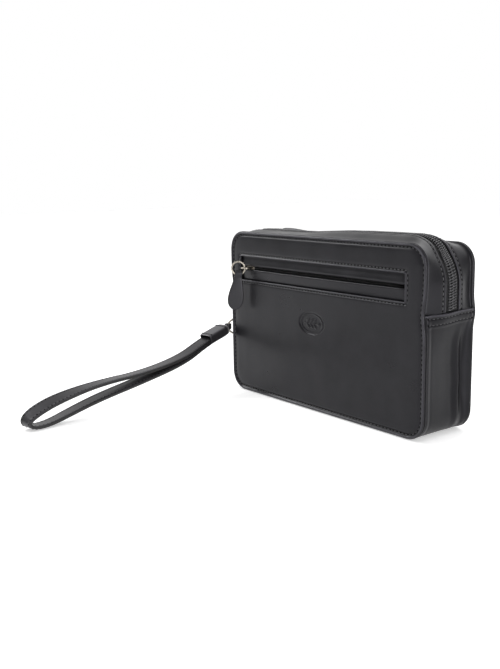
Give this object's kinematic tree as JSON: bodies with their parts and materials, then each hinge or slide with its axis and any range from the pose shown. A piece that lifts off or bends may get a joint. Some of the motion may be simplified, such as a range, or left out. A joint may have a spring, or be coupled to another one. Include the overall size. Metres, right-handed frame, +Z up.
{
  "type": "zipped leather wrist bag",
  "caption": "Black leather zipped wrist bag that stands on its base, with a zipped front pocket, a zip over the top and a looped wrist strap on a ring at one side.",
  "frame": {"origin": "middle of the bag's flat base, under the bag's own middle without the strap", "axes": "+X along the front to the right, +Y from the front to the back, +Z up"},
  "size_m": [0.2387, 0.2462, 0.14],
  "materials": {
    "leather": "smooth black bag leather with a satin coat",
    "strap_leather": "smooth black leather with painted edges",
    "tab_leather": "smooth black leather with painted edges",
    "lining": "black woven lining cloth",
    "board": "bonded fibre board",
    "zip_tape": "black woven zip tape",
    "zip_coil": "black nylon coil",
    "zip_metal": "antique nickel plate, worn bright on the edges"
  },
  "bodies": {
    "back_half": {"back_panel": "leather", "back_board": "board", "back_lining": "lining", "back_zip_strip": "leather", "back_zip_tape": "zip_tape", "back_zip_coil": "zip_coil", "main_stop_left": "zip_metal", "main_stop_right": "zip_metal", "side_gusset": "leather", "base_board": "board", "gusset_lining": "lining", "strap_anchor": "leather"},
    "front_half": {"front_panel": "leather", "front_board": "board", "front_lining": "lining", "front_zip_strip": "leather", "front_zip_tape": "zip_tape", "front_zip_coil": "zip_coil", "pocket_welt_upper": "leather", "pocket_welt_lower": "leather", "pocket_tape_upper": "zip_tape", "pocket_tape_lower": "zip_tape", "pocket_coil_upper": "zip_coil", "pocket_coil_lower": "zip_coil", "pocket_stop_left": "zip_metal", "pocket_stop_right": "zip_metal", "pocket_bag": "lining"},
    "pocket_slider": {"pocket_slider": "zip_metal"},
    "pocket_ring": {"pocket_pull_ring": "zip_metal"},
    "pocket_tab": {"pocket_pull_tab": "tab_leather"},
    "main_slider": {"main_slider": "zip_metal"},
    "main_ring": {"main_pull_ring": "zip_metal"},
    "main_tab": {"main_pull_tab": "tab_leather"},
    "strap_ring": {"strap_ring": "zip_metal"},
    "strap": {"strap_sleeve": "strap_leather", "wrist_strap": "strap_leather"}
  },
  "joints": [
    {"name": "front_opens", "type": "hinge", "parent": "back_half", "child": "front_half", "pos_m": [0, -0.0255, 0], "axis": [1, 0, 0], "range_deg": [0, 12]},
    {"name": "pocket_zip", "type": "slide", "parent": "front_half", "child": "pocket_slider", "axis": [1, 0, 0], "range_m": [0, 0.166]},
    {"name": "pocket_ring_swing", "type": "hinge", "parent": "pocket_slider", "child": "pocket_ring", "pos_m": [-0.086, -0.02865, 0.1074], "axis": [0, 0, 1], "range_deg": [-9, 84]},
    {"name": "pocket_tab_swing", "type": "hinge", "parent": "pocket_ring", "child": "pocket_tab", "pos_m": [-0.08933, -0.03302, 0.1019], "axis": [0.606, 0.7955, 0], "range_deg": [-50, 4]},
    {"name": "main_zip", "type": "slide", "parent": "back_half", "child": "main_slider", "axis": [0, 0, 1], "range_m": [0, 0.015]},
    {"name": "main_ring_swing", "type": "hinge", "parent": "main_slider", "child": "main_ring", "pos_m": [-0.11185, 0.0012, 0.1], "axis": [0, 1, 0], "range_deg": [0, 110]},
    {"name": "main_tab_swing", "type": "hinge", "parent": "main_ring", "child": "main_tab", "pos_m": [-0.11816, 0.0012, 0.09099], "axis": [0, 1, 0], "range_deg": [0, 70]},
    {"name": "strap_ring_swing", "type": "hinge", "parent": "back_half", "child": "strap_ring", "pos_m": [-0.1145, -0.011, 0.052], "axis": [0, 0, 1], "range_deg": [-70, 3]},
    {"name": "strap_swing", "type": "hinge", "parent": "strap_ring", "child": "strap", "pos_m": [-0.12196, -0.02165, 0.052], "axis": [0, 0, 1], "range_deg": [-80, 3]}
  ]
}
